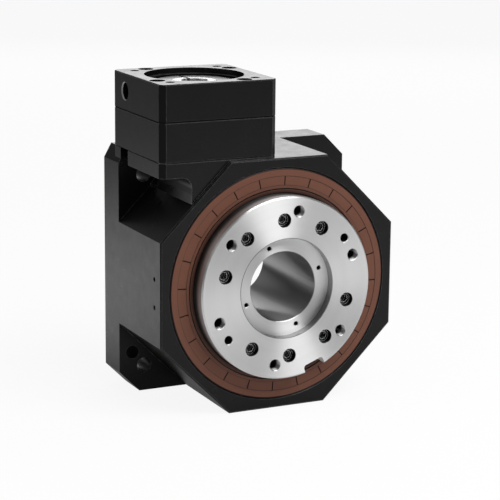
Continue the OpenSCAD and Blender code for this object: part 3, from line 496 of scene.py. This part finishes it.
def polished_steel(name, light=0.60, dark=0.48, rough=0.16):
    """Ground bearing steel: bright, with a faint oil film."""
    material = new_material(name)
    tree = Tree(material)
    position = tree.position()
    film = tree.noise(position, scale=90.0, detail=4.0)
    scratch = tree.noise(position, scale=2400.0, detail=2.0)
    tree.finish({
        "Base Color": tree.mix(film, grey(light), grey(dark)),
        "Roughness": tree.spread(film, rough, rough + 0.10), "Metallic": 1.0,
        "Normal": tree.bump(scratch, strength=0.05, distance=0.00003),
    })
    return material


def gear_steel(name):
    """Case-hardened gear steel: grey cut flanks with a tempered tint."""
    material = new_material(name)
    tree = Tree(material)
    position = tree.position()
    tint = tree.noise(position, scale=60.0)
    cutter = tree.noise(position, scale=1500.0, roughness=0.6)
    tree.finish({
        "Base Color": tree.mix(tint, GEAR_GREY, GEAR_TINT),
        "Roughness": tree.spread(cutter, 0.28, 0.42), "Metallic": 1.0,
        "Normal": tree.bump(cutter, strength=0.10, distance=0.00005),
    })
    return material


def black_oxide(name):
    """Black-oxide socket screws: nearly black, oily, with bright worn edges that also serve as
    painted highlights.
    """
    material = new_material(name)
    tree = Tree(material)
    mottle = tree.noise(tree.position(), scale=900.0)
    colour = tree.mix(mottle, OXIDE_DARK, OXIDE_LIGHT)
    # Worn edges painted bright, which also serve as painted highlights
    colour = tree.mix(tree.edge(radius=0.0008), colour, OXIDE_WORN_HIGHLIGHT)
    tree.finish({
        "Base Color": colour, "Roughness": tree.spread(mottle, 0.22, 0.32),
        "Metallic": 0.3, "Specular IOR Level": 0.45,
        "Normal": tree.bump(mottle, strength=0.12, distance=0.00005),
    })
    return material


# ---- seals ----

def seal_plastic(name, centre, axis, grooves=None):
    """Brown filled plastic, matt, with fine turning marks and painted shade in its grooves."""
    material = new_material(name)
    tree = Tree(material)
    position = tree.position()
    lathe, radius, depth = lathe_coordinates(tree, position, axis, centre)
    rings = tree.noise(lathe, scale=2600.0)
    speck = tree.noise(position, scale=1400.0, detail=2.0, roughness=0.7)
    cloud = tree.noise(position, scale=40.0, detail=4.0)
    colour = tree.mix(cloud, SEAL_BROWN, SEAL_PALER)
    colour = tree.mix(tree.times(speck, SPECK_SHARE), colour, SEAL_SPECK)
    worn = tree.times(tree.edge(radius=0.0004), SEAL_WEAR)
    colour = tree.mix(worn, colour, SEAL_WORN)
    if grooves is not None:
        # Painted shade in the grooves, the joint, by the lip and along the rim lines
        shade = tree.times(grooves(tree, position, radius, depth), GROOVE_SHARE)
        colour = tree.mix(shade, colour, SEAL_SHADE)
    tree.finish({
        "Base Color": colour, "Roughness": tree.spread(rings, 0.46, 0.60, tail=0.25),
        "Specular IOR Level": 0.30,
        "Normal": tree.bump(rings, strength=0.18, distance=0.00008),
    })
    return material


def seal_face_shade(tree, position, radius, depth):
    """Painted shade of the output seal: grooves, outer joint, inner lip, marks and the band's
    rims.
    """
    shades = [
        tree.above(depth, SEAL_FRONT + GROOVE_DEPTH, GROOVE_SOFT),
        tree.above(radius, SEAL_R - JOINT_W, 2 * tree.FADE),
        tree.times(tree.below(radius, FLANGE_R, LIP_SHADE), LIP_SHARE),
        radial_marks(tree, position, radius),
    ]
    for ring in MARK_BAND:
        away = tree.math("ABSOLUTE", tree.math("SUBTRACT", radius, ring))
        shades.append(tree.times(tree.below(away, RIM_LINE_HALF), RIM_LINE_SHARE))
    deepest = shades[0]
    for shade in shades[1:]:
        deepest = tree.math("MAXIMUM", deepest, shade)
    return deepest


def radial_marks(tree, position, radius):
    """1 in the radial marks of the output seal's band."""
    x, _, z = tree.split(position)
    pitch = 2 * math.pi / MARKS
    turn = tree.times(tree.math("ARCTAN2", z, x), 1 / pitch)
    # The whole number keeps the sum above 0, and the half puts each mark in a share's middle
    share = tree.math("FRACT", tree.math("ADD", turn, 0.5 + MARKS + MARK_TURN / pitch))
    off_middle = tree.math("ABSOLUTE", tree.math("SUBTRACT", share, 0.5))
    away = tree.times(off_middle, tree.times(radius, pitch))
    inner, outer = MARK_BAND
    band = tree.times(tree.above(radius, inner + tree.FADE),
                      tree.below(radius, outer - tree.FADE))
    return tree.times(tree.below(away, MARK_HALF, MARK_SOFT), band)


# ---- what is made of what ----

MATERIALS = {
    "black": anodised("anodised_black"),
    "output": turned_steel("turned_flange", OUTPUT_AXIS, walls=flange_walls, marks=flange_painted_shade),
    "shaft": turned_steel("turned_hollow_shaft", OUTPUT_AXIS, light=0.80, dark=0.72,
                          walls=shaft_walls, marks=shaft_painted_shade),
    "hub": turned_steel("turned_input_shaft", INPUT_AXIS, axis="Z", light=0.88, dark=0.80,
                        rough=0.24, anisotropy=0.3),
    # Painted shade: the clamp collar is painted as dark steel
    "collar": turned_steel("turned_clamp_collar", INPUT_AXIS, axis="Z", light=0.22, dark=0.15,
                           rough=0.30, anisotropy=0.3),
    "bearing": polished_steel("bearing_steel"),
    "balls": polished_steel("ball_steel", light=0.68, dark=0.60, rough=0.06),
    "gear": gear_steel("gear_steel"),
    "screw": black_oxide("black_oxide"),
    "face_seal": seal_plastic("seal_plastic_front", OUTPUT_AXIS, "Y", grooves=seal_face_shade),
    "seal": seal_plastic("seal_plastic", INPUT_AXIS, "Z"),
}

FINISHES = {
    "black": ["housing", "input_housing", "motor_adapter", "rear_cover"],
    "output": ["output_flange", "gear_carrier", "bearing_retainer"],
    "shaft": ["hollow_shaft"],
    "hub": ["input_shaft", "lock_nut", "inner_spacer", "outer_spacer"],
    "collar": ["clamp_collar"],
    "bearing": ["bearing_outer_ring", "bearing_inner_ring", "rear_bearing_outer",
                "rear_bearing_inner", "upper_bearing_outer", "upper_bearing_inner",
                "lower_bearing_outer", "lower_bearing_inner", "bearing_circlip"],
    "balls": ["crossed_rollers", "rear_bearing_balls", "upper_bearing_balls",
              "lower_bearing_balls"],
    "gear": ["ring_gear", "hypoid_pinion"],
    "screw": ["input_housing_screws", "adapter_screws", "flange_screws", "gear_screws",
              "rear_cover_screws", "clamp_screw"],
    "face_seal": ["output_seal"],
    "seal": ["rear_seal", "input_seal"],
}


def dress_nodes():
    for finish, names in FINISHES.items():
        for name in names:
            for slot in frame["nodes"][name].material_slots:
                slot.material = MATERIALS[finish]


# ---- studio ----

def studio_floor():
    level = cad_low.z
    corners = [(x * FLOOR_HALF, y * FLOOR_HALF, level)
               for x, y in ((-1, -1), (1, -1), (1, 1), (-1, 1))]
    mesh = bpy.data.meshes.new("studio_floor")
    mesh.from_pydata(corners, [], [(0, 1, 2, 3)])
    mesh.materials.append(studio_white(level))
    floor = bpy.data.objects.new("studio_floor", mesh)
    bpy.context.scene.collection.objects.link(floor)


def studio_white(level):
    """White paint that looks evenly lit, and in gloss shows the table's pools of light."""
    material = new_material("studio_white")
    tree = Tree(material)
    path = tree.add("ShaderNodeLightPath").outputs
    glossy = path["Is Glossy Ray"]
    direct = tree.math("MAXIMUM", path["Is Camera Ray"], path["Is Transmission Ray"])
    position = tree.position()
    table = TABLE_DIM
    for middle, reach, strength in TABLE_POOLS:
        away = tree.vector_math("DISTANCE", position, (*middle, level))
        table = tree.math("ADD", tree.ramp(away, 0.0, reach, strength, 0.0), table)
    middle, under, clear = CONTACT
    away = tree.vector_math("DISTANCE", position, (*middle, level))
    table = tree.times(table, tree.ramp(away, under, clear, CONTACT_SHARE, 1.0))
    strength = tree.math("MAXIMUM", direct, tree.times(glossy, table))
    share = tree.math("MAXIMUM", tree.times(direct, FLOOR_PLAIN),
                      tree.times(glossy, FLOOR_GLOSSY))
    paint = tree.add("ShaderNodeBsdfDiffuse", {"Color": grey(FLOOR_GREY)}).outputs[0]
    glow = tree.add("ShaderNodeEmission", {"Color": grey(1.0), "Strength": strength}).outputs[0]
    blend = tree.add("ShaderNodeMixShader", {0: share, 1: paint, 2: glow})
    tree.add("ShaderNodeOutputMaterial", {"Surface": blend.outputs[0]})
    return material


def studio_world():
    """White to a direct look, a dark room with windows to gloss, and an even dim fill."""
    world = bpy.data.worlds.new("studio_world")
    bpy.context.scene.world = world
    world.use_nodes = True
    tree = Tree(world)
    path = tree.add("ShaderNodeLightPath").outputs
    glossy = path["Is Glossy Ray"]
    direct = tree.math("MAXIMUM", path["Is Camera Ray"], path["Is Transmission Ray"])
    direction = tree.add("ShaderNodeTexCoord").outputs["Generated"]
    room = 0.0
    for window, begins, full, outside in WINDOWS:
        cosine = tree.vector_math("DOT_PRODUCT", direction, tuple(Vector(window).normalized()))
        room = tree.math("MAXIMUM", room, tree.ramp(cosine, begins, full, outside, 1.0))
    seen = tree.math("MAXIMUM", direct, glossy)
    fill = tree.times(tree.math("SUBTRACT", 1.0, seen), WORLD_FILL)
    shown = tree.math("MAXIMUM", direct, tree.times(glossy, room))
    strength = tree.math("ADD", fill, shown)
    glow = tree.add("ShaderNodeBackground", {"Color": grey(1.0), "Strength": strength})
    tree.add("ShaderNodeOutputWorld", {"Surface": glow.outputs[0]})


def studio_lights():
    middle = (cad_low + cad_high) / 2
    for name, (away, width, height, power) in SOFT_BOXES.items():
        data = bpy.data.lights.new(name, "AREA")
        data.shape = "RECTANGLE"
        data.size = width
        data.size_y = height
        data.energy = power
        light = bpy.data.objects.new(name, data)
        light.location = middle + Vector(away)
        light.rotation_euler = (-Vector(away)).to_track_quat("-Z", "Y").to_euler()
        bpy.context.scene.collection.objects.link(light)


def photo_camera():
    data = bpy.data.cameras.new("camera")
    data.sensor_width = CAMERA_SENSOR
    data.lens = CAMERA_LENS
    data.shift_x, data.shift_y = CAMERA_SHIFT
    data.clip_start, data.clip_end = CAMERA_CLIP
    forward = CAMERA_FORWARD.normalized()
    right = forward.cross(CAMERA_UP).normalized()
    up = right.cross(forward)
    turn = Matrix((right, up, -forward)).transposed().to_4x4()
    camera = bpy.data.objects.new("camera", data)
    camera.matrix_world = Matrix.Translation(CAMERA_AT) @ turn
    bpy.context.scene.collection.objects.link(camera)
    bpy.context.scene.camera = camera


dress_nodes()
studio_floor()
studio_world()
studio_lights()
photo_camera()
bpy.context.scene.view_settings.view_transform = "Standard"
